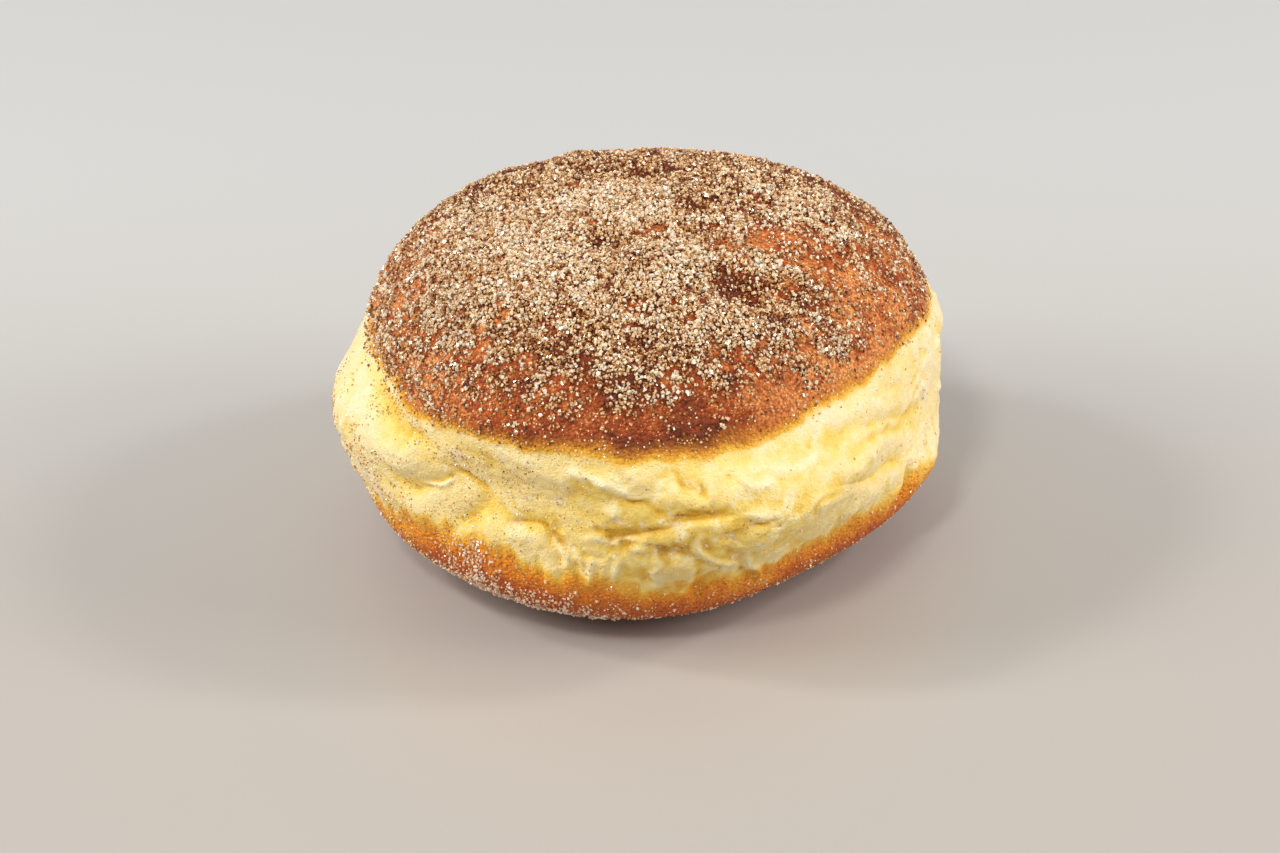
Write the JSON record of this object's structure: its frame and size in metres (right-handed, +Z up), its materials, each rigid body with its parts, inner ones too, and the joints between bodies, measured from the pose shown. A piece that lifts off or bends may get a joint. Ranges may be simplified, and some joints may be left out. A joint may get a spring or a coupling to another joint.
{
  "type": "jelly filled doughnut",
  "caption": "Round filled doughnut rolled in cinnamon sugar: a browned, dented cap and underside with a pale, folded belt of soft dough between them.",
  "frame": {"origin": "middle of the flat spot that the doughnut rests on, under the centre of its box", "axes": "+Z up through the cap, -Y towards the front that the picture shows, +X to the right of that front"},
  "size_m": [0.097, 0.0978, 0.0555],
  "materials": {
    "fried_dough": "matte fried dough, brown above and below and pale round the middle"
  },
  "bodies": {
    "root": {"doughnut": "fried_dough"}
  },
  "joints": []
}
